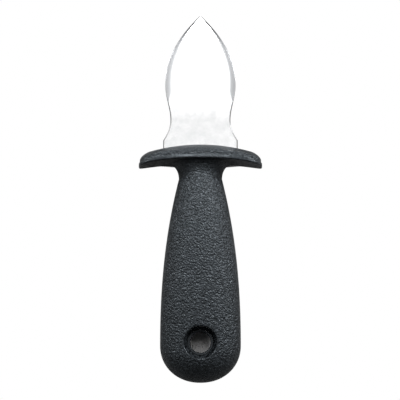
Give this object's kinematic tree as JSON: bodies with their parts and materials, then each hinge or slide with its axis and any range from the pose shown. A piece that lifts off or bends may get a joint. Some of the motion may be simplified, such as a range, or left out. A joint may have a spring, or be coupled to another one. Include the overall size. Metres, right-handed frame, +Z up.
{
  "type": "oyster knife",
  "caption": "Oyster knife with a short leaf-shaped steel blade, a black moulded grip with an oval hand guard, and a stepped hanging hole near the butt.",
  "frame": {"origin": "centre of the footprint on the surface that the knife lies flat on", "axes": "+Y along the knife towards the blade's tip, +X across the blade to the right, +Z up out of the blade's flat"},
  "size_m": [0.0562, 0.168, 0.027],
  "materials": {
    "steel": "fine satin stainless steel, ground along both edges",
    "plastic": "black polypropylene with a fine spark-eroded grain"
  },
  "bodies": {
    "root": {"blade": "steel", "handle": "plastic"}
  },
  "joints": []
}
